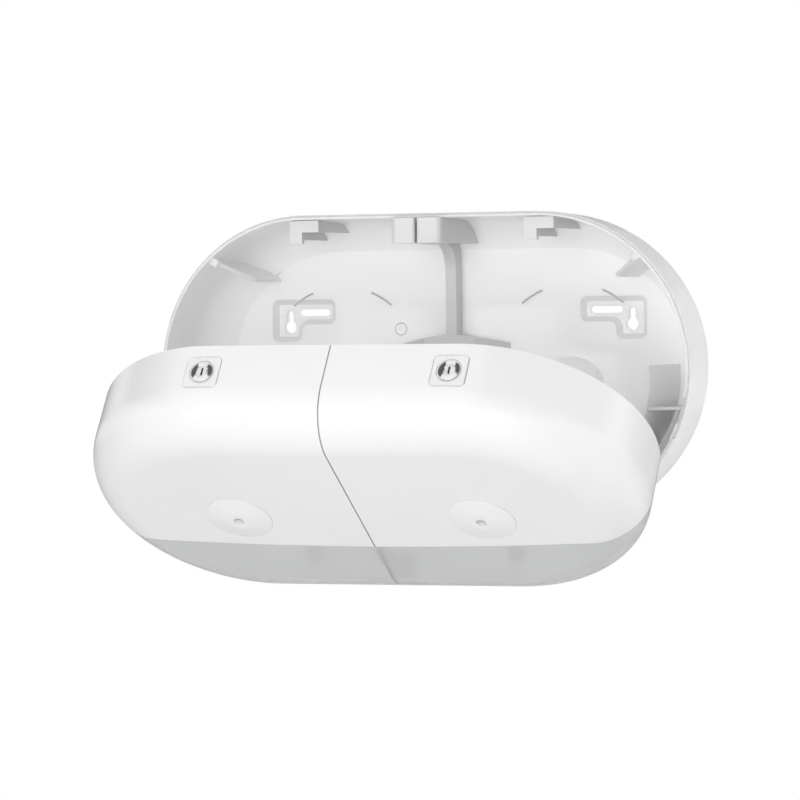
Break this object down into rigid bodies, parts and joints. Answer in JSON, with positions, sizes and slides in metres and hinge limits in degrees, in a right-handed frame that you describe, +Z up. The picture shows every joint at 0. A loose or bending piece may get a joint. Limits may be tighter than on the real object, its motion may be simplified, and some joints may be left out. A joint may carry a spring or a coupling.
{
  "type": "toilet paper dispenser",
  "caption": "Wall-mounted twin toilet paper dispenser: a stadium-shaped housing with roll cradles and a drop-down cover with key locks, paper outlets and a grey lower window.",
  "frame": {"origin": "middle of the back face, on the wall plane", "axes": "+X to the viewer's right along the wall, +Y into the wall, +Z up"},
  "size_m": [0.398, 0.2903, 0.261],
  "materials": {
    "housing_white": "moulded, glossy",
    "divider_white": "moulded, glossy",
    "cover_white": "moulded, high gloss",
    "window_smoke": "translucent grey, glossy",
    "nozzle_white": "moulded, glossy",
    "guide_white": "moulded, satin",
    "bezel_white": "moulded, glossy",
    "lock_chrome": "bright chrome",
    "plug_chrome": "bright chrome",
    "nut_steel": "zinc plated",
    "cam_steel": "stamped, zinc plated",
    "pin_steel": "drawn steel",
    "screw_steel": "zinc plated",
    "arm_grey": "moulded, satin"
  },
  "bodies": {
    "rear": {"rear_housing": "housing_white", "roll_divider": "divider_white", "latch_keeper_left": "divider_white", "latch_keeper_right": "divider_white", "hinge_pin_left": "pin_steel", "hinge_pin_right": "pin_steel"},
    "cover": {"front_cover": "cover_white", "lower_window": "window_smoke", "nozzle_left": "nozzle_white", "nozzle_right": "nozzle_white", "nozzle_guide_left": "guide_white", "nozzle_guide_right": "guide_white", "lock_bezel_left": "bezel_white", "lock_bezel_right": "bezel_white", "lock_barrel_left": "lock_chrome", "lock_barrel_right": "lock_chrome", "barrel_nut_left": "nut_steel", "barrel_nut_right": "nut_steel", "hinge_arm_left": "arm_grey", "hinge_arm_right": "arm_grey", "hinge_arm_screws": "screw_steel"},
    "left_key": {"lock_plug_left": "plug_chrome", "lock_cam_left": "cam_steel", "cam_screw_left": "screw_steel"},
    "right_key": {"lock_plug_right": "plug_chrome", "lock_cam_right": "cam_steel", "cam_screw_right": "screw_steel"}
  },
  "joints": [
    {"name": "cover_hinge", "type": "hinge", "parent": "rear", "child": "cover", "pos_m": [0, -0.088, -0.106], "axis": [1, 0, 0], "range_deg": [-54.5, 0]},
    {"name": "left_key_turn", "type": "hinge", "parent": "cover", "child": "left_key", "pos_m": [-0.0885, -0.26604, -0.00603], "axis": [0, -0.8141, 0.5807], "range_deg": [0, 90]},
    {"name": "right_key_turn", "type": "hinge", "parent": "cover", "child": "right_key", "pos_m": [0.0885, -0.26604, -0.00603], "axis": [0, -0.8141, 0.5807], "range_deg": [0, 90]}
  ]
}
